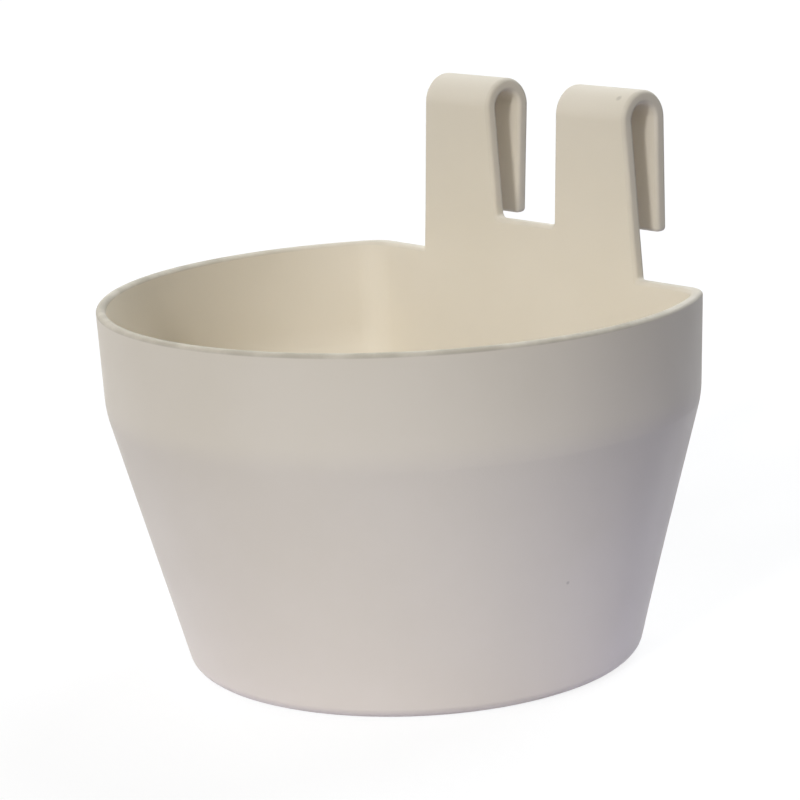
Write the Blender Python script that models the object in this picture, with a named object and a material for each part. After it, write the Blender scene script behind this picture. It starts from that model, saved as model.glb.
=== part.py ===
"""Hook-on feeder cup for a poultry or cage-bird pen.

One off-white plastic moulding: a D-shaped cup with a round front and a flat back, a short hanger
plate that carries on upwards from the flat back, and two strips that fold over backwards into
hooks for the top wire of a pen. It has no fasteners and nothing that moves, so its members are
modelled as solids that meet face to face on level planes.

The origin is on the underside of the base, on the axis of the round wall. +Z is up, the round
front faces -Y and the hooks open downwards behind the flat back, on the +Y side. Sizes are in metres.
"""

import math

import bmesh
import bpy
from mathutils import Vector

# Cup
CUP_HEIGHT = 0.0736
RIM_RADIUS = 0.0600
BASE_RADIUS = 0.0451
FLAT_OFFSET = 0.0365  # from the axis to the outer face of the flat back, at the rim
CORNER_RADIUS = 0.0057  # outside, where the round wall turns into the flat back
INSIDE_CORNER = 0.0080
WALL = 0.0020  # the round wall; the flat back is as thick as the strips
FLOOR = 0.0022
BAND_HEIGHT = 0.0201  # the upright band below the rim
BAND_DRAFT = math.radians(2.0)
BACK_DRAFT = math.radians(1.8)
SHOULDER_BLEND = 0.0024  # how far the soft bend below the band reaches each way
BASE_ROUND = 0.0024
FLOOR_ROUND = 0.0022
RIM_ROUND = 0.0004

# Flat back, hanger plate and hooks
STRIP = 0.0027  # thickness of the flat back, the plate and the hooks
PLATE_RISE = 0.0086  # from the rim to the notch between the hooks
PLATE_FOOT_WIDTH = 0.0634
HOOK_RISE = 0.0368  # from the rim to the top of the hooks
HOOK_GAP = 0.0063  # what the hooks can straddle
LEG_LENGTH = 0.0229  # the straight rear leg, below the bend
ROOT_NEAR = 0.0085  # the hooks' near and far sides, from the cup's middle plane
ROOT_FAR = 0.0310
BEND_NEAR = 0.0099
BEND_FAR = 0.0294
TIP_NEAR = 0.0117
TIP_FAR = 0.0291
EDGE_ROUND = 0.0004

# Fineness of the round stretches
ARC_STEPS = 64
CORNER_STEPS = 7
BLEND_STEPS = 3
BEND_STEPS = 16
EDGE_STEPS = 2
SMOOTH_ANGLE = math.radians(35)

# Worked out from the sizes above
SHOULDER_HEIGHT = CUP_HEIGHT - BAND_HEIGHT
SHOULDER_RADIUS = RIM_RADIUS - BAND_HEIGHT * math.tan(BAND_DRAFT)
STRIP_FRONT = FLAT_OFFSET - STRIP  # the plate and hooks are flush with the inside of the cup
BEND_RADIUS = HOOK_GAP / 2 + STRIP  # outside of the half-round bend
STRAIGHT_RISE = HOOK_RISE - PLATE_RISE - BEND_RADIUS  # front strip, from the notch to the bend
UNDER_PLATE = ARC_STEPS + CORNER_STEPS + 2  # the edge of an outline that the plate stands on


def empty_scene():
    for obj in list(bpy.data.objects):
        bpy.data.objects.remove(obj, do_unlink=True)


def cream_plastic():
    material = bpy.data.materials.new("cream_plastic")
    material.use_nodes = True
    shader = material.node_tree.nodes["Principled BSDF"]
    shader.inputs["Base Color"].default_value = (0.75, 0.69, 0.58, 1.0)
    shader.inputs["Roughness"].default_value = 0.5
    shader.inputs["Metallic"].default_value = 0.0
    return material


def mesh_from(name, bm):
    """Closes the bmesh into a mesh with smooth round faces and crisp corners."""
    bmesh.ops.recalc_face_normals(bm, faces=bm.faces[:])
    mesh = bpy.data.meshes.new(name)
    bm.to_mesh(mesh)
    bm.free()
    mesh.shade_smooth()
    mesh.set_sharp_from_angle(angle=SMOOTH_ANGLE)
    return mesh


def place(name, mesh, material, parent, location=(0, 0, 0)):
    if not mesh.materials:
        mesh.materials.append(material)
    obj = bpy.data.objects.new(name, mesh)
    obj.parent = parent
    obj.location = location
    bpy.context.scene.collection.objects.link(obj)
    return obj


def loft(bm, outlines):
    """Skins closed outlines point to point, caps both ends and returns the edges of each outline.

    An outline's edge of a given number ends at the outline's point of that number."""
    rings = [[bm.verts.new(point) for point in outline] for outline in outlines]
    for lower, upper in zip(rings, rings[1:]):
        for i in range(len(lower)):
            bm.faces.new((lower[i - 1], lower[i], upper[i], upper[i - 1]))
    bm.faces.new(reversed(rings[0]))
    bm.faces.new(rings[-1])
    bm.normal_update()  # rounding an edge later needs the faces' directions
    return [[bm.edges.get((ring[i - 1], ring[i])) for i in range(len(ring))] for ring in rings]


def round_edges(bm, edges, reach, steps):
    bmesh.ops.bevel(
        bm,
        geom=edges,
        offset=reach,
        offset_type="OFFSET",
        segments=steps,
        profile=0.5,
        affect="EDGES",
        material=-1,
    )


def back_face(z):
    """Outer face of the drafted flat back at height z."""
    return FLAT_OFFSET - (CUP_HEIGHT - z) * math.tan(BACK_DRAFT)


def round_wall(z):
    """Outer radius of the round wall at height z: the taper, the soft shoulder and the band."""
    up = z - SHOULDER_HEIGHT
    taper = (SHOULDER_RADIUS - BASE_RADIUS) / SHOULDER_HEIGHT
    draft = math.tan(BAND_DRAFT)
    if up <= -SHOULDER_BLEND:
        return SHOULDER_RADIUS + taper * up
    if up >= SHOULDER_BLEND:
        return SHOULDER_RADIUS + draft * up
    middle = SHOULDER_RADIUS + (taper + draft) / 2 * up
    return middle - (taper - draft) * (up**2 + SHOULDER_BLEND**2) / (4 * SHOULDER_BLEND)


def arc(centre, radius, start, end, steps):
    """Points on a level arc, both ends included."""
    points = []
    for step in range(steps + 1):
        angle = start + (end - start) * step / steps
        points.append(centre + radius * Vector((math.cos(angle), math.sin(angle), 0)))
    return points


def corner_centre(z, wall, back, corner):
    """Middle of the right-hand corner's rounding at height z, this far inside the outer faces."""
    y = back_face(z) - back - corner
    x = math.sqrt((round_wall(z) - wall - corner) ** 2 - y**2)
    return Vector((x, y, z))


def d_outline(z, wall=0.0, back=0.0, corner=CORNER_RADIUS):
    """The D-shaped plan at height z, drawn in by the wall and the back: round front and flat back."""
    radius = round_wall(z) - wall
    right = corner_centre(z, wall, back, corner)
    left = Vector((-right.x, right.y, z))
    meet = math.atan2(right.y, right.x)  # direction in which the front arc runs into the corner
    square = math.pi / 2
    plate_end = right.x * PLATE_FOOT_WIDTH / (2 * corner_centre(CUP_HEIGHT, wall, back, corner).x)
    points = arc(Vector((0, 0, z)), radius, math.pi - meet, 2 * math.pi + meet, ARC_STEPS)
    points += arc(right, corner, meet, square, CORNER_STEPS)[1:]
    points += [Vector((side * plate_end, right.y + corner, z)) for side in (1, -1)]
    points += arc(left, corner, square, math.pi - meet, CORNER_STEPS)[:-1]
    return points


def d_inside(z):
    """The plan of the hollow at height z."""
    return d_outline(z, WALL, STRIP, INSIDE_CORNER)


def make_cup():
    """The open D-shaped shell, skinned up the outside, over the rim and down the inside."""
    bm = bmesh.new()
    steps = [2 * step / BLEND_STEPS - 1 for step in range(BLEND_STEPS + 1)]
    shoulder = [SHOULDER_HEIGHT + SHOULDER_BLEND * step for step in steps]
    outside = [d_outline(z) for z in (0, *shoulder, CUP_HEIGHT)]
    inside = [d_inside(z) for z in (CUP_HEIGHT, *reversed(shoulder), FLOOR)]
    rings = loft(bm, outside + inside)
    base, floor_edge = rings[0], rings[-1]
    rim, rim_inside = rings[len(outside) - 1], rings[len(outside)]
    round_edges(bm, base, BASE_ROUND, BLEND_STEPS)
    round_edges(bm, floor_edge, FLOOR_ROUND, BLEND_STEPS)
    del rim[UNDER_PLATE], rim_inside[UNDER_PLATE]
    round_edges(bm, rim + rim_inside, RIM_ROUND, EDGE_STEPS)
    return mesh_from("cup", bm)


def level_rectangle(width, front, back, z):
    half = width / 2
    return [(-half, front, z), (half, front, z), (half, back, z), (-half, back, z)]


def long_edges(bm, rings):
    """The edges that run from ring to ring."""
    across = {edge for ring in rings for edge in ring}
    return [edge for edge in bm.edges if edge not in across]


def make_hanger_plate():
    """The plate that stands on the flat part of the rim and carries both hooks."""
    bm = bmesh.new()
    foot = level_rectangle(PLATE_FOOT_WIDTH, 0, STRIP, 0)
    head = level_rectangle(2 * ROOT_FAR, 0, STRIP, PLATE_RISE)
    rings = loft(bm, [foot, head])
    round_edges(bm, long_edges(bm, rings), EDGE_ROUND, EDGE_STEPS)
    return mesh_from("hanger_plate", bm)


def hook_stations():
    """Stations along the strip: outer point and inner point in (y, z), near side and far side."""
    centre = Vector((BEND_RADIUS, STRAIGHT_RISE))
    stations = [(Vector((0, 0)), Vector((STRIP, 0)), ROOT_NEAR, ROOT_FAR)]
    for step in range(BEND_STEPS + 1):
        angle = math.pi - math.pi * step / BEND_STEPS
        out = Vector((math.cos(angle), math.sin(angle)))
        outer = centre + BEND_RADIUS * out
        inner = centre + (BEND_RADIUS - STRIP) * out
        stations.append((outer, inner, BEND_NEAR, BEND_FAR))
    leg_end = STRAIGHT_RISE - LEG_LENGTH
    leg_back = 2 * BEND_RADIUS
    tip_outer, tip_inner = Vector((leg_back, leg_end)), Vector((leg_back - STRIP, leg_end))
    stations.append((tip_outer, tip_inner, TIP_NEAR, TIP_FAR))
    return stations


def make_hook(name, side):
    """A strip that rises from the plate, folds over backwards and hangs down as the rear leg."""
    bm = bmesh.new()
    sections = []
    for outer, inner, near, far in hook_stations():
        low, high = sorted((side * near, side * far))
        sections.append([(low, *outer), (high, *outer), (high, *inner), (low, *inner)])
    rings = loft(bm, sections)
    round_edges(bm, long_edges(bm, rings) + rings[-1], EDGE_ROUND, EDGE_STEPS)
    return mesh_from(name, bm)


def main():
    empty_scene()
    plastic = cream_plastic()
    moulding = bpy.data.objects.new("feeder_cup", None)
    bpy.context.scene.collection.objects.link(moulding)
    place("cup", make_cup(), plastic, moulding)
    plate_foot = (0, STRIP_FRONT, CUP_HEIGHT)
    place("hanger_plate", make_hanger_plate(), plastic, moulding, plate_foot)
    hook_root = (0, STRIP_FRONT, CUP_HEIGHT + PLATE_RISE)
    for name, side in (("left_hook", -1), ("right_hook", 1)):
        place(name, make_hook(name, side), plastic, moulding, hook_root)


main()
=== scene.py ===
# %% [markdown]
# # A hook-on feeder cup
#
# The object is a small feeder cup for a poultry or cage-bird pen: one moulding in off-white
# plastic, with a round tapered front, a flat back and two folded strips that hook over the top
# of the pen's side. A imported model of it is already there, as four plain solids. This lesson
# loads those solids as a frame, builds one fine moulding in their place, gives it a satin plastic
# finish and lights it as in a plain studio.

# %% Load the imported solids
import math

import bmesh
import bpy
from mathutils import Matrix, Vector


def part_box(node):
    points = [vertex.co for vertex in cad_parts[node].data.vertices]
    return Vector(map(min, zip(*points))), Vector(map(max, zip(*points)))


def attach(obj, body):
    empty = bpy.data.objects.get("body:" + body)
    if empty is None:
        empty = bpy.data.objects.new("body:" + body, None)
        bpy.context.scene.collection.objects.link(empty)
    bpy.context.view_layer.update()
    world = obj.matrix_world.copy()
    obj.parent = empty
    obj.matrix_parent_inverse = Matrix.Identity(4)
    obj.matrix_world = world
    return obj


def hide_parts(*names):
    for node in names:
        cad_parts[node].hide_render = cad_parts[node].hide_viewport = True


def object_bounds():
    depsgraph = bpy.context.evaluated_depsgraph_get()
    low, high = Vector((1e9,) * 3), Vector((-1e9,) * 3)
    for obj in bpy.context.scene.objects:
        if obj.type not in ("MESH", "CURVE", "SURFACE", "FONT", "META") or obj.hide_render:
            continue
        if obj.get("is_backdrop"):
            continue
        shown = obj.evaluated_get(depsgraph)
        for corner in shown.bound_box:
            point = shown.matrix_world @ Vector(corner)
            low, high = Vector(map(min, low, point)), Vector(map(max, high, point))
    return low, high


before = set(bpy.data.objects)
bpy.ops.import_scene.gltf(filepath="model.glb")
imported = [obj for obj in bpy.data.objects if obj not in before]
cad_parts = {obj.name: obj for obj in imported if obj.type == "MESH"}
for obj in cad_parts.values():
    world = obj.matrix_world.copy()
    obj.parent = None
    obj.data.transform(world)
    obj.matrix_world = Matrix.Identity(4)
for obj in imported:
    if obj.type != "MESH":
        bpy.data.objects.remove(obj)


def in_mm(lengths):
    """Lengths in metres as millimetres, to be printed."""
    return [round(1000 * length, 1) for length in lengths]


scene = bpy.context.scene
packed_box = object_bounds()
print("solids:", sorted(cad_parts))
print("box of the solids in mm:", [in_mm(corner) for corner in packed_box])

# %% [markdown]
# ## The camera
#
# A long lens stands in front of the cup and to its right, a little above the rim, and is tipped
# sideways by a small turn. The place could be found by trying, but here it comes from matching
# the rim, the base and the hooks, so each number is one plain quantity: the direction round the
# cup, the height above the horizon, the sideways turn, the distance and the point looked at.

# %% Place the camera
VIEW_ROUND = math.radians(49.77)  # from straight in front of the cup towards its right side
VIEW_ABOVE = math.radians(12.96)
VIEW_TURN = math.radians(-2.63)
VIEW_DISTANCE = 0.5819
VIEW_ASIDE = -0.0011
VIEW_HEIGHT = 0.0513
LENS_MM = 131.67
SENSOR_MM = 36.0
NEAREST_SEEN = 0.01

turn = (
    Matrix.Rotation(VIEW_ROUND, 4, "Z")
    @ Matrix.Rotation(math.pi / 2 - VIEW_ABOVE, 4, "X")
    @ Matrix.Rotation(VIEW_TURN, 4, "Z")
)
aside = Vector((math.cos(VIEW_ROUND), math.sin(VIEW_ROUND), 0))
looked_at = aside * VIEW_ASIDE + Vector((0, 0, VIEW_HEIGHT))
camera = bpy.data.objects.new("camera", bpy.data.cameras.new("camera"))
camera.data.lens = LENS_MM
camera.data.sensor_width = SENSOR_MM
camera.data.clip_start = NEAREST_SEEN
camera.matrix_world = Matrix.Translation(looked_at + turn.col[2].to_3d() * VIEW_DISTANCE) @ turn
scene.collection.objects.link(camera)
scene.camera = camera
print("camera in mm:", in_mm(camera.matrix_world.translation))

# %% [markdown]
# ## The D-shaped plan
#
# Seen from above the cup is a D: a round front, two rounded corners and a flat back. The front
# leans in a lot towards the base and the back hardly at all, so the plan changes its shape with
# the height, and a plain scale of one outline can't give it. A rule does: every point keeps its
# number round the outline, and the rule says where that number lies at any height, on the outer
# face or on the inner face. The points on the flat back are numbered so that some of them fall
# on the edges of the hanger plate and of the hooks, which later grow from there.

# %% Sizes of the cup
cup_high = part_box("cup")[1]
plate_low, plate_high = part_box("hanger_plate")
hook_low, hook_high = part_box("right_hook")

RIM_HEIGHT = cup_high.z
RIM_RADIUS = cup_high.x
BASE_RADIUS = 0.0451
BACK = cup_high.y  # outer face of the flat back, at the rim
CORNER_RADIUS = 0.0057  # outside, where the round wall turns into the flat back
INSIDE_CORNER = 0.0080
WALL = 0.0020  # the round wall; the flat back is as thick as the strips
STRIP = plate_high.y - plate_low.y
FLOOR = 0.0022
BAND_HEIGHT = 0.0201  # the nearly upright band below the rim
BAND_DRAFT = math.radians(2.0)
BACK_DRAFT = math.radians(1.8)
SHOULDER_BLEND = 0.0024  # how far the soft bend below the band reaches each way

SHOULDER_HEIGHT = RIM_HEIGHT - BAND_HEIGHT
SHOULDER_RADIUS = RIM_RADIUS - BAND_HEIGHT * math.tan(BAND_DRAFT)
PLATE_END = plate_high.x
HOOK_SIDE = hook_low.x * plate_high.x / hook_high.x  # a hook's near side, carried down to the rim
print("rim's radius and height in mm:", in_mm((RIM_RADIUS, RIM_HEIGHT)))

# %% The wall and the corners at any height
OUTER_FACE = (0.0, 0.0, CORNER_RADIUS)  # how far the wall and the back are drawn in, and the corner
INNER_FACE = (WALL, STRIP, INSIDE_CORNER)


def wall_radius(z):
    """Outer radius of the round wall: a taper, a soft shoulder and a nearly upright band."""
    up = z - SHOULDER_HEIGHT
    taper = (SHOULDER_RADIUS - BASE_RADIUS) / SHOULDER_HEIGHT
    draft = math.tan(BAND_DRAFT)
    if abs(up) >= SHOULDER_BLEND:
        return SHOULDER_RADIUS + (draft if up > 0 else taper) * up
    bend = (taper - draft) * (up**2 + SHOULDER_BLEND**2) / (4 * SHOULDER_BLEND)
    return SHOULDER_RADIUS + (taper + draft) / 2 * up - bend


def corner_centre(z, face):
    """Middle of the right-hand corner's rounding on the outer or the inner face."""
    wall, back, corner = face
    y = BACK - (RIM_HEIGHT - z) * math.tan(BACK_DRAFT) - back - corner
    return Vector((math.sqrt((wall_radius(z) - wall - corner) ** 2 - y**2), y, z))


print("radius in mm at the base and the shoulder:", in_mm(map(wall_radius, (0, SHOULDER_HEIGHT))))

# %% The rule for a point of the plan
FRONT_STEPS = 168
CORNER_STEPS = 12
BACK_MARKS = [PLATE_END, HOOK_SIDE, -HOOK_SIDE, -PLATE_END]
BACK_STEPS = [4, 12, 8, 12, 4]  # from the right-hand corner to the left-hand one, mark by mark
POINTS = FRONT_STEPS + 2 * CORNER_STEPS + sum(BACK_STEPS)


def back_share(step, half):
    """Place along the flat back, as a share of its half width at the rim, from 1 to -1."""
    marks = [half, *BACK_MARKS, -half]
    for start, end, steps in zip(marks, marks[1:], BACK_STEPS):
        if step <= steps:
            return (start + (end - start) * step / steps) / half
        step -= steps
    return -1.0


def plan_point(number, z, face):
    """Where the outline's point of that number lies at height z on the outer or the inner face."""
    wall, _, corner = face
    right = corner_centre(z, face)
    left = Vector((-right.x, right.y, z))
    meet = math.atan2(right.y, right.x)  # direction in which the front runs into the corner
    if number <= FRONT_STEPS:
        angle = math.pi - meet + (math.pi + 2 * meet) * number / FRONT_STEPS
        reach = wall_radius(z) - wall
        return Vector((reach * math.cos(angle), reach * math.sin(angle), z))
    number -= FRONT_STEPS
    if number <= CORNER_STEPS:
        angle = meet + (math.pi / 2 - meet) * number / CORNER_STEPS
        return right + corner * Vector((math.cos(angle), math.sin(angle), 0))
    number -= CORNER_STEPS
    if number <= sum(BACK_STEPS):
        share = back_share(number, corner_centre(RIM_HEIGHT, face).x)
        return Vector((right.x * share, right.y + corner, z))
    number -= sum(BACK_STEPS)
    angle = math.pi / 2 + (math.pi / 2 - meet) * number / CORNER_STEPS
    return left + corner * Vector((math.cos(angle), math.sin(angle), 0))


print("points round the plan:", POINTS)

# %% [markdown]
# ## The shell
#
# The real shell is a steel mould's gap filled with plastic: an outer face, an inner face, a thin
# round wall and a thicker flat back. It could be a sheet with a Solidify modifier, but then one
# thickness and the outside's roundings would set the inside. Here a circle is slid onto the plan
# at the base, and its ring of edges is extruded up the outside, across the rim and down the
# inside, each time slid onto the plan at the next height. Every point carries its number with it
# in an attribute, because extruding copies attributes.

# %% Extrude the shell ring by ring
SHOULDER_STEPS = 8

bm = bmesh.new()
number_of = bm.verts.layers.int.new("plan_number")
base = bmesh.ops.create_circle(bm, segments=POINTS, radius=RIM_RADIUS, cap_ends=True)
for number, vert in enumerate(base["verts"]):
    vert[number_of] = number
    vert.co = plan_point(number, 0.0, OUTER_FACE)
base_face = bm.faces[:][0]

shoulder = [
    SHOULDER_HEIGHT + SHOULDER_BLEND * (2 * step / SHOULDER_STEPS - 1)
    for step in range(SHOULDER_STEPS + 1)
]
outside = [(z, OUTER_FACE) for z in (*shoulder, RIM_HEIGHT)]
inside = [(z, INNER_FACE) for z in (RIM_HEIGHT, *reversed(shoulder), FLOOR)]

rings = [base_face.edges[:]]
for z, face in outside + inside:
    made = bmesh.ops.extrude_edge_only(bm, edges=rings[-1])["geom"]
    rings.append([item for item in made if isinstance(item, bmesh.types.BMEdge)])
    for vert in {vert for edge in rings[-1] for vert in edge.verts}:
        vert.co = plan_point(vert[number_of], z, face)
bmesh.ops.contextual_create(bm, geom=rings[-1])


def turn_outwards(stage):
    """Turns all faces outwards, and prints the volume and how many edges are open."""
    bmesh.ops.recalc_face_normals(bm, faces=bm.faces[:])
    open_edges = [edge for edge in bm.edges if not edge.is_manifold]
    print(stage, round(bm.calc_volume() * 1e6, 2), "cm3, open edges:", len(open_edges))


turn_outwards("shell:")

# %% [markdown]
# ## Rounded base and floor
#
# A mould has no sharp edge where plastic has to flow round it. The edge between the base and the
# wall is rounded outside, and the one between the floor and the wall inside. A bevel with a few
# segments and a profile of 0.5, which is a circle's, does both while the mesh is still simple.

# %% Round the base and the floor
BASE_ROUND = 0.0024
FLOOR_ROUND = 0.0022
ROUND_SEGMENTS = 5


def round_edges(edges, reach, segments):
    """Rounds edges of the moulding and returns the new faces."""
    made = bmesh.ops.bevel(
        bm,
        geom=edges,
        offset=reach,
        offset_type="OFFSET",
        segments=segments,
        profile=0.5,
        affect="EDGES",
        material=-1,
    )
    return made["faces"]


base_rounding = round_edges(rings[0], BASE_ROUND, ROUND_SEGMENTS)
floor_rounding = round_edges(rings[-1], FLOOR_ROUND, ROUND_SEGMENTS)
print("faces round the base and the floor:", len(base_rounding), len(floor_rounding))

# %% [markdown]
# ## The hanger plate
#
# The flat back carries on above the rim as a short plate, flush with the cup's inside and
# outside. It could be a box that is joined on, but a join leaves a seam that a moulding doesn't
# have. So the plate is grown out of the rim: the rim's own top faces between the plate's two
# ends are extruded upwards, and drawn in a little, because the plate narrows towards the hooks.

# %% Helpers that grow a strip
NEAR = 1e-5  # points closer than this lie in the same place


def with_edges(faces):
    """Faces together with their edges, which an extrusion needs to take its first faces away."""
    return faces + list({edge for face in faces for edge in face.edges})


def faces_in(geometry):
    return [item for item in geometry if isinstance(item, bmesh.types.BMFace)]


def grow(faces, rise, sides, new_sides):
    """Extrudes faces up or down, fits their two sides to new places and returns the new ends."""
    ends = faces_in(bmesh.ops.extrude_face_region(bm, geom=with_edges(faces))["geom"])
    verts = list({vert for face in ends for vert in face.verts})
    scale = (new_sides[1] - new_sides[0]) / (sides[1] - sides[0])
    from_side = Matrix.Translation((-sides[0], 0, 0))
    bmesh.ops.scale(bm, verts=verts, vec=(scale, 1, 1), space=from_side)
    bmesh.ops.translate(bm, verts=verts, vec=(new_sides[0] - sides[0], 0, rise))
    return ends


def spans(face, low_x, high_x, z):
    """Tells whether a level face lies at height z between two places across the cup."""
    return all(
        abs(vert.co.z - z) < NEAR and low_x - NEAR < vert.co.x < high_x + NEAR
        for vert in face.verts
    )


back_rim = [face for face in bm.faces if face.calc_center_median().y > BACK - STRIP]
foot = [face for face in back_rim if spans(face, -PLATE_END, PLATE_END, RIM_HEIGHT)]
print("faces of the rim under the plate:", len(foot))

# %% Grow the plate from the rim
foot_sides = (-PLATE_END, PLATE_END)
head_sides = (-hook_high.x, hook_high.x)
plate_rise = plate_high.z - RIM_HEIGHT
plate_top = grow(foot, plate_rise, foot_sides, head_sides)
print("plate in mm: sides", in_mm(head_sides), "at the top, rise", in_mm([plate_rise]))

# %% [markdown]
# ## The hooks
#
# Each hook is a flat strip that rises from the plate, folds over backwards in a half-round and
# hangs down as a rear leg. The strip narrows from its root to its tip, more on the side towards
# the other hook, so each width is given by its two sides. Like the plate, the strip is grown
# from the faces below it: extruded to where the bend starts, spun by half a turn about the bend's
# own axis, and extruded down again. The bend's inside is as wide as what the cup hangs on.

# %% Grow and fold the hooks
ROOT_SIDES = (hook_low.x, hook_high.x)
BEND_SIDES = (0.0099, 0.0294)
TIP_SIDES = (0.0117, 0.0291)
BEND_STEPS = 28

bend_radius = (hook_high.y - hook_low.y) / 2
bend_start = hook_high.z - bend_radius
bend_axis_y = hook_low.y + bend_radius
leg_end = hook_low.z

left_root = [face for face in plate_top if spans(face, -hook_high.x, -hook_low.x, plate_high.z)]
right_root = [face for face in plate_top if spans(face, hook_low.x, hook_high.x, plate_high.z)]

for root, hand in ((left_root, -1), (right_root, 1)):
    at_root, at_bend, at_tip = [
        [hand * side for side in sides] for sides in (ROOT_SIDES, BEND_SIDES, TIP_SIDES)
    ]
    strip = grow(root, bend_start - plate_high.z, at_root, at_bend)
    folded = bmesh.ops.spin(
        bm,
        geom=with_edges(strip),
        cent=(0, bend_axis_y, bend_start),
        axis=(-1, 0, 0),
        angle=math.pi,
        steps=BEND_STEPS,
        use_merge=False,
    )
    grow(faces_in(folded["geom_last"]), leg_end - bend_start, at_bend, at_tip)
    print("hook in mm: sides", in_mm(at_tip), "at the tip")

turn_outwards("with plate and hooks:")

# %% [markdown]
# ## Fillets and soft edges
#
# Where a hook leaves the notch between the two strips, the real moulding has a small fillet, so
# that the strip doesn't crack there. All other edges are rounded as well, by a little less than
# half of the wall's thickness, which makes the rim and the strips soft to the hand. Both are
# bevels: the fillets first, and then every edge that is still sharper than a set angle. Hands and
# beaks wear such edges, and most of all the front of the rim, so the points that lie there are
# marked for the finish, in an attribute called rubbed_and_shaded. The finish darkens them for
# that wear and also as painted shade, which keeps the roundings from catching more light than
# the faces beside them.

# %% Fillet the notch
NOTCH_ROUND = 0.0010


def at_notch_corner(vert):
    """Tells whether a point lies where a hook's near side meets the notch."""
    return abs(abs(vert.co.x) - hook_low.x) + abs(vert.co.z - plate_high.z) < NEAR


notch = [edge for edge in bm.edges if all(at_notch_corner(vert) for vert in edge.verts)]
round_edges(notch, NOTCH_ROUND, ROUND_SEGMENTS)
print("notch edges with a fillet:", len(notch))

# %% Soften the edges and mark them for wear and painted shade
EDGE_ROUND = 0.0009
EDGE_SEGMENTS = 6
SHARP = math.radians(40)
# How much each rounding is darkened, for wear and as painted shade: most on the front of the rim.
LEAST_RUB_AND_SHADE = 0.25
RUB_AND_SHADE_FADES = (0.005, 0.020)  # across the cup, from the rim's open front to its sheltered back


def rub_and_shade(place):
    """Darkening of a rounded edge, for wear and as painted shade: most on the rim's front, little
    at the back.
    """
    if place.z > RIM_HEIGHT + NEAR:
        return LEAST_RUB_AND_SHADE
    sheltered = (place.y - RUB_AND_SHADE_FADES[0]) / (RUB_AND_SHADE_FADES[1] - RUB_AND_SHADE_FADES[0])
    return 1.0 + (LEAST_RUB_AND_SHADE - 1.0) * min(max(sheltered, 0.0), 1.0)


bm.normal_update()
sharp = [edge for edge in bm.edges if edge.is_manifold and edge.calc_face_angle() > SHARP]
softened = set(round_edges(sharp, EDGE_ROUND, EDGE_SEGMENTS))
# Marks the roundings; the finish darkens them for wear and as painted shade.
rubbed_and_shaded = bm.verts.layers.float.new("rubbed_and_shaded")
for vert in {vert for face in softened for vert in face.verts}:
    on_rim_top = abs(vert.co.z - RIM_HEIGHT) < EDGE_ROUND / 2
    inside_rounding = all(face in softened for face in vert.link_faces)
    if inside_rounding or on_rim_top:
        vert[rubbed_and_shaded] = rub_and_shade(vert.co)
print("softened edges:", len(sharp))
turn_outwards("with soft edges:")

# %% [markdown]
# ## From the bench into the scene
#
# A bmesh is only a workbench: the shape becomes part of the scene when it is written to a mesh
# and an object carries that mesh. Smooth shading alone would let the roundings tip the light on
# the flat back and the strips. The edges could be marked sharp, but a moulding has no sharp edge.
# A Weighted Normal modifier lets the large faces set the direction instead, so they stay flat.

# %% Make the moulding an object
mesh = bpy.data.meshes.new("feeder_moulding")
bm.to_mesh(mesh)
bm.free()
mesh.shade_smooth()
moulding = bpy.data.objects.new("feeder_moulding", mesh)
scene.collection.objects.link(moulding)
moulding.modifiers.new("flat_faces_stay_flat", "WEIGHTED_NORMAL")
print("moulding:", len(mesh.vertices), "points,", len(mesh.polygons), "faces")

# %% [markdown]
# ## The plastic
#
# The cup is one satin off-white plastic, coloured right through and left as it came from the
# mould. One flat colour would look drawn, because the real surface is never even. Its marks could
# be painted onto an unwrapped picture, but here every effect is worked out from the place on the
# cup, so there is no seam and nothing to paint. The surface mirrors little, so the shader's
# specular level is low, and being the same all over it is set on the shader itself.

# %% Start the plastic
SATIN_SPECULAR = 0.15

plastic = bpy.data.materials.new("cream_plastic")
plastic.use_nodes = True
mesh.materials.append(plastic)
nodes = plastic.node_tree.nodes
link = plastic.node_tree.links.new
shader = nodes["Principled BSDF"]
shader.inputs["Specular IOR Level"].default_value = SATIN_SPECULAR
spot = nodes.new("ShaderNodeTexCoord").outputs["Object"]
print("plastic:", plastic.name, "with a specular level of", SATIN_SPECULAR)

# %% [markdown]
# ## A drifting tone
#
# Melted plastic cools at different speeds, so the cream is a little paler here and warmer there.
# A colour ramp from top to bottom would be too regular. Noise drifts as the real tone does, but
# most of its values lie close to the middle, so they are spread out before they choose between
# two creams.

# %% Helpers for clouds, ranges and tints
CLOUDS = (0.30, 0.70)  # where most of a noise's values lie


def noise(scale, detail, place=spot):
    """Cloudy values about 0.5, with clouds of about one part in scale of a metre."""
    cloud = nodes.new("ShaderNodeTexNoise")
    cloud.inputs["Scale"].default_value = scale
    cloud.inputs["Detail"].default_value = detail
    link(place, cloud.inputs["Vector"])
    return cloud.outputs["Fac"]


def spread(value, old, new):
    """Takes values between two old limits to the range between two new ones, and holds the rest."""
    stretch = nodes.new("ShaderNodeMapRange")
    stretch.interpolation_type = "SMOOTHSTEP"
    for socket, limit in zip(("From Min", "From Max", "To Min", "To Max"), (*old, *new)):
        stretch.inputs[socket].default_value = limit
    link(value, stretch.inputs["Value"])
    return stretch.outputs["Result"]


def tint(share, under, over):
    """A colour between two: each is a fixed colour or another node's output."""
    blend = nodes.new("ShaderNodeMix")
    blend.data_type = "RGBA"
    link(share, blend.inputs["Factor"])
    for socket, colour in (("A", under), ("B", over)):
        if isinstance(colour, tuple):
            blend.inputs[socket].default_value = (*colour, 1.0)
        else:
            link(colour, blend.inputs[socket])
    return blend.outputs["Result"]


print("a noise is spread from", CLOUDS)

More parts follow.
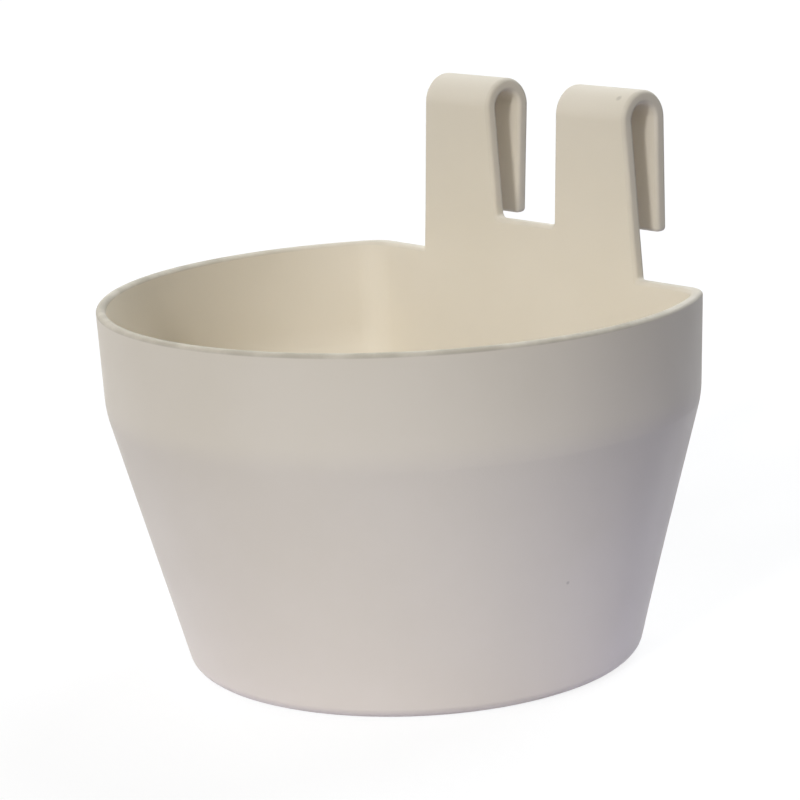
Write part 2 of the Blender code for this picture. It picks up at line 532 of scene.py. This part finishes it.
# %% Colour: a drifting tone
CREAM_PALE = (0.815, 0.750, 0.635)
CREAM_WARM = (0.785, 0.720, 0.600)
DRIFT_SCALE = 26

drift = spread(noise(DRIFT_SCALE, detail=3.0), CLOUDS, (0.0, 1.0))
tone = tint(drift, CREAM_PALE, CREAM_WARM)
print("cream from", CREAM_PALE, "to", CREAM_WARM)

# %% [markdown]
# ## Burnt specks
#
# A grain of plastic that stays in the hot machine too long is burnt, and ends up as a tiny brown
# speck. The specks could be small pieces of mesh, but they lie in the plastic and not on it. A
# Voronoi texture splits space into cells about loose points: the distance from the point draws a
# dot, and a colour that each cell draws for itself picks the few cells that keep one. Two larger
# marks, on the right hook and low on the front, are drawn by their distance from a set place.

# %% Colour: burnt specks
BURNT = (0.30, 0.26, 0.20)
CELLS_PER_METRE = 170
SPECK_SIZE = 0.045  # as a share of a cell
SPECK_CHOICE = (0.84, 0.94)  # cells with a lower value have no speck
SPECK_STRENGTH = 0.4
MARK_STRENGTH = 0.35
MARKS = [((0.0262, 0.0359, 0.1091), 0.0009), ((0.0512, -0.0058, 0.0247), 0.0005)]


def combine(kind, first, second):
    """One value from two others, multiplied or added or the larger of them."""
    joined = nodes.new("ShaderNodeMath")
    joined.operation = kind
    link(first, joined.inputs[0])
    link(second, joined.inputs[1])
    return joined.outputs["Value"]


cells = nodes.new("ShaderNodeTexVoronoi")
cells.inputs["Scale"].default_value = CELLS_PER_METRE
link(spot, cells.inputs["Vector"])
near_grain = spread(cells.outputs["Distance"], (SPECK_SIZE / 3, SPECK_SIZE), (1.0, 0.0))
chosen = spread(cells.outputs["Color"], SPECK_CHOICE, (0.0, SPECK_STRENGTH))
specks = combine("MULTIPLY", near_grain, chosen)
for centre, reach in MARKS:
    away = nodes.new("ShaderNodeVectorMath")
    away.operation = "DISTANCE"
    away.inputs[1].default_value = centre
    link(spot, away.inputs[0])
    mark = spread(away.outputs["Value"], (reach / 4, reach), (MARK_STRENGTH, 0.0))
    specks = combine("MAXIMUM", specks, mark)
tone = tint(specks, tone, BURNT)
print("specks: loose ones and", len(MARKS), "larger marks")

# %% [markdown]
# ## Rubbed edges and painted shade
#
# Rubbed plastic has fine scratches that hold dirt, so such an edge is a little darker and duller
# than the faces beside it. Here the darker colour is also painted shade: the roundings would catch
# more light from the lamps than the faces beside them, and the colour holds them down. A Bevel or
# Geometry node could look for edges while it renders, but it can't know that the front of the rim
# is darkened most. The attribute that was marked on the bench does, and a noise breaks it up,
# because nothing wears evenly.

# %% Colour: rubbed edges and painted shade
# The darker colour of the marked edges: grime, and painted shade on the roundings.
GRIME_AND_SHADE = (0.52, 0.475, 0.39)
RUB_AND_SHADE_SCALE = 140
RUB_AND_SHADE_CLOUDS = (0.30, 0.66)
RUB_AND_SHADE_STRENGTH = (0.35, 0.85)

edges = nodes.new("ShaderNodeAttribute")
edges.attribute_name = "rubbed_and_shaded"
uneven = spread(noise(RUB_AND_SHADE_SCALE, detail=4.0), RUB_AND_SHADE_CLOUDS, RUB_AND_SHADE_STRENGTH)
worn_and_shaded = combine("MULTIPLY", edges.outputs["Fac"], uneven)
link(tint(worn_and_shaded, tone, GRIME_AND_SHADE), shader.inputs["Base Color"])
print("rubbed points:", sum(point.value > 0.5 for point in mesh.attributes["rubbed_and_shaded"].data))

# %% [markdown]
# ## Gloss and relief
#
# The mould's steel gives the cup a satin gloss that is a little patchy, and the rubbed edges are
# duller. The surface isn't quite even either: the wall sinks into long, shallow waves as it
# shrinks, the mould draws faint streaks up the sides as it lets go, and the steel leaves a very
# fine grain. These could be modelled, but they are shallower than the mesh is fine. Bump nodes
# tip the light instead, one feeding the next, so that the three reliefs lie on one another.

# %% Gloss
GLOSS_SCALE = 75
SATIN_ROUGHNESS = (0.45, 0.58)
RUBBED_DULLER = (0.0, 0.2)

patchy = spread(noise(GLOSS_SCALE, detail=3.0), CLOUDS, SATIN_ROUGHNESS)
duller = spread(worn_and_shaded, (0.0, 1.0), RUBBED_DULLER)
link(combine("ADD", patchy, duller), shader.inputs["Roughness"])
print("roughness from", SATIN_ROUGHNESS[0], "to", SATIN_ROUGHNESS[1], "and more on rubbed edges")

# %% Shrink waves, streaks and grain
WAVE_SCALE = 38
STREAK_SCALE = (420, 420, 16)  # narrow round the cup and long up its sides
GRAIN_SCALE = 2600

drawn = nodes.new("ShaderNodeMapping")
drawn.inputs["Scale"].default_value = STREAK_SCALE
link(spot, drawn.inputs["Vector"])
streaks = noise(1.0, detail=2.0, place=drawn.outputs["Vector"])

RELIEFS = [  # height, how deep in metres, how strong
    (noise(WAVE_SCALE, detail=1.0), 0.0008, 0.35),
    (streaks, 0.00008, 0.25),
    (noise(GRAIN_SCALE, detail=2.0), 0.00006, 0.30),
]
normal = None
for height, depth, strength in RELIEFS:
    relief = nodes.new("ShaderNodeBump")
    relief.inputs["Distance"].default_value = depth
    relief.inputs["Strength"].default_value = strength
    link(height, relief.inputs["Height"])
    if normal:
        link(normal, relief.inputs["Normal"])
    normal = relief.outputs["Normal"]
link(normal, shader.inputs["Normal"])
print("reliefs:", [f"{1000 * depth:.2f} mm deep" for _, depth, _ in RELIEFS])

# %% [markdown]
# ## The floor and the air
#
# The cup stands on a pale floor in a plain studio. The background is white in the picture, and
# that could come from a very bright floor, but so much light from below would bleach the cup. So
# the floor and the air show white only to the camera and in gloss, and the floor keeps a faint
# shadow. For the light that they throw on the cup, the floor is a round, slightly bluish sheet on
# a dark ground, and the air is dim.

# %% Lay the floor
FLOOR_REACH = 4.0

floor_bm = bmesh.new()
bmesh.ops.create_grid(floor_bm, x_segments=1, y_segments=1, size=FLOOR_REACH)
floor_mesh = bpy.data.meshes.new("studio_floor")
floor_bm.to_mesh(floor_mesh)
floor_bm.free()
studio_floor = bpy.data.objects.new("studio_floor", floor_mesh)
scene.collection.objects.link(studio_floor)
studio_floor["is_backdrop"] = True

paper = bpy.data.materials.new("studio_paper")
paper.use_nodes = True
floor_mesh.materials.append(paper)
paper_nodes = paper.node_tree.nodes
paper_link = paper.node_tree.links.new
paper_nodes.remove(paper_nodes["Principled BSDF"])
print("floor:", 2 * FLOOR_REACH, "m across")

# %% What the floor throws on the cup
SHEET_EDGE = 0.095
SHEET_END = 0.22
SHEET_BLUISH = (0.76, 0.76, 1.0, 1.0)
GROUND_DARK = (0.03, 0.03, 0.03, 1.0)

floor_spot = paper_nodes.new("ShaderNodeTexCoord")
from_middle = paper_nodes.new("ShaderNodeVectorMath")
from_middle.operation = "LENGTH"
fade = paper_nodes.new("ShaderNodeMapRange")
fade.interpolation_type = "SMOOTHSTEP"
fade.inputs["From Min"].default_value = SHEET_EDGE
fade.inputs["From Max"].default_value = SHEET_END
sheet = paper_nodes.new("ShaderNodeMix")
sheet.data_type = "RGBA"
sheet.inputs["A"].default_value = SHEET_BLUISH
sheet.inputs["B"].default_value = GROUND_DARK
bounce = paper_nodes.new("ShaderNodeBsdfDiffuse")
paper_link(floor_spot.outputs["Object"], from_middle.inputs[0])
paper_link(from_middle.outputs["Value"], fade.inputs["Value"])
paper_link(fade.outputs["Result"], sheet.inputs["Factor"])
paper_link(sheet.outputs["Result"], bounce.inputs["Color"])
print("sheet: even to", SHEET_EDGE, "m from the middle, gone at", SHEET_END, "m")

# %% What the camera sees of the floor
SHADOW_SHARE = 0.2  # of the lamps' light, which a shadow takes away
GLOW_SHARE = 0.85


def seen_directly(tree):
    """A factor that is 1 for what the camera or a gloss sees, and 0 for light that bounces."""
    path = tree.nodes.new("ShaderNodeLightPath")
    factor = path.outputs["Is Camera Ray"]
    for kind in ("Is Glossy Ray", "Is Transmission Ray"):
        larger = tree.nodes.new("ShaderNodeMath")
        larger.operation = "MAXIMUM"
        tree.links.new(factor, larger.inputs[0])
        tree.links.new(path.outputs[kind], larger.inputs[1])
        factor = larger.outputs[0]
    return factor


shadowed = paper_nodes.new("ShaderNodeBsdfDiffuse")
shadowed.inputs["Color"].default_value = (SHADOW_SHARE, SHADOW_SHARE, SHADOW_SHARE, 1.0)
glow = paper_nodes.new("ShaderNodeEmission")
glow.inputs["Strength"].default_value = GLOW_SHARE
shown = paper_nodes.new("ShaderNodeAddShader")
choose = paper_nodes.new("ShaderNodeMixShader")
paper_link(shadowed.outputs["BSDF"], shown.inputs[0])
paper_link(glow.outputs["Emission"], shown.inputs[1])
paper_link(seen_directly(paper.node_tree), choose.inputs["Fac"])
paper_link(bounce.outputs["BSDF"], choose.inputs[1])
paper_link(shown.outputs["Shader"], choose.inputs[2])
paper_link(choose.outputs["Shader"], paper_nodes["Material Output"].inputs["Surface"])
print("floor shown by", GLOW_SHARE, "of its own glow and", SHADOW_SHARE, "of the lamps' light")

# %% Fill the air
AIR_LIGHT = (0.04, 0.04, 0.04, 1.0)
AIR_SHOWN = (1.0, 1.0, 1.0, 1.0)

air = bpy.data.worlds.new("studio_air")
scene.world = air
air.use_nodes = True
air_nodes = air.node_tree.nodes
air_link = air.node_tree.links.new
dim = air_nodes["Background"]
dim.inputs["Color"].default_value = AIR_LIGHT
white = air_nodes.new("ShaderNodeBackground")
white.inputs["Color"].default_value = AIR_SHOWN
choose = air_nodes.new("ShaderNodeMixShader")
air_link(seen_directly(air.node_tree), choose.inputs["Fac"])
air_link(dim.outputs["Background"], choose.inputs[1])
air_link(white.outputs["Background"], choose.inputs[2])
air_link(choose.outputs["Shader"], air_nodes["World Output"].inputs["Surface"])
scene.view_settings.view_transform = "Standard"
print("air light:", AIR_LIGHT[:3])

# %% [markdown]
# ## The lamps
#
# A key lamp from the front, not quite at the camera's side, draws the shadows in the hooks, and a
# higher one lights the tops. A wide fill near the camera, one low on the left and one behind the
# cup soften them. Area lamps would do as well, but their light falls off with the distance. A sun
# lamp's light is the same everywhere, and its angle alone says how soft its shadows are, so one
# strength and one angle describe each lamp.

# %% Hang the lamps
LAMPS = {  # degrees round from the front, degrees up, angle in degrees, strength, colour
    "key_lamp": (24, 29, 8, 1.26, (1.0, 1.0, 1.0)),
    "high_lamp": (10, 50, 14, 0.47, (1.0, 1.0, 1.0)),
    "front_fill": (45, 20, 40, 0.50, (1.0, 1.0, 1.0)),
    "left_fill": (-88, 12, 50, 1.62, (1.0, 1.0, 1.0)),
    "back_fill": (190, 45, 40, 1.75, (0.93, 1.0, 1.08)),
}

for name, (round_deg, above_deg, size_deg, strength, colour) in LAMPS.items():
    lamp = bpy.data.objects.new(name, bpy.data.lights.new(name, "SUN"))
    lamp.data.energy = strength
    lamp.data.angle = math.radians(size_deg)
    lamp.data.color = colour
    swing = Matrix.Rotation(math.radians(round_deg), 4, "Z")
    lamp.matrix_world = swing @ Matrix.Rotation(math.radians(90 - above_deg), 4, "X")
    scene.collection.objects.link(lamp)
    print(name, "from", round_deg, "degrees round and", above_deg, "up, strength", strength)

# %% [markdown]
# ## Into the frame
#
# The cup has nothing that moves, so the moulding rides on the frame's only body, and it stands
# for all four solids, which stay out of sight as the shapes that other things bump into. Its
# finish belongs to the record's one material. The box round the solids and the box round the
# moulding are written down side by side, to show that the finer shape is no larger.

# %% Put the moulding in the frame
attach(moulding, "root")
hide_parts("cup", "hanger_plate", "left_hook", "right_hook")

visual_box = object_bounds()
print("box of the moulding in mm:", [in_mm(corner) for corner in visual_box])
